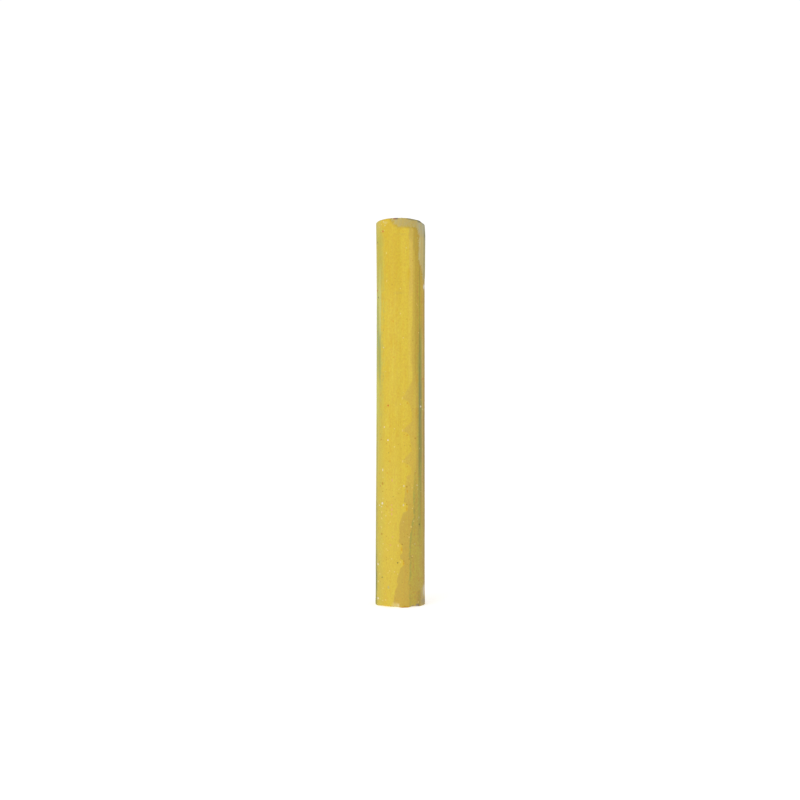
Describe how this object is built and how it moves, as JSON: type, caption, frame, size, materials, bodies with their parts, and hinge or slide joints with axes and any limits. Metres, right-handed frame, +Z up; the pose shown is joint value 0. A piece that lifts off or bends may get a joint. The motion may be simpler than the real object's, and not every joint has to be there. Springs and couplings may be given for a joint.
{
  "type": "marking crayon",
  "caption": "Solid round stick of yellow marking wax, standing on its flat foot, slightly waisted, with a worn shoulder at its head.",
  "frame": {"origin": "centre of the flat foot that the crayon stands on", "axes": "+Z up along the stick from foot to head, -Y is the front, +X is the right side as seen from the front"},
  "size_m": [0.0124, 0.0124, 0.0948],
  "materials": {
    "wax": "hard filled wax with a dull, slightly greasy sheen, yellow in front, tan and olive round the right side, with fine drag lines, specks and scuffs"
  },
  "bodies": {
    "root": {"crayon": "wax"}
  },
  "joints": []
}
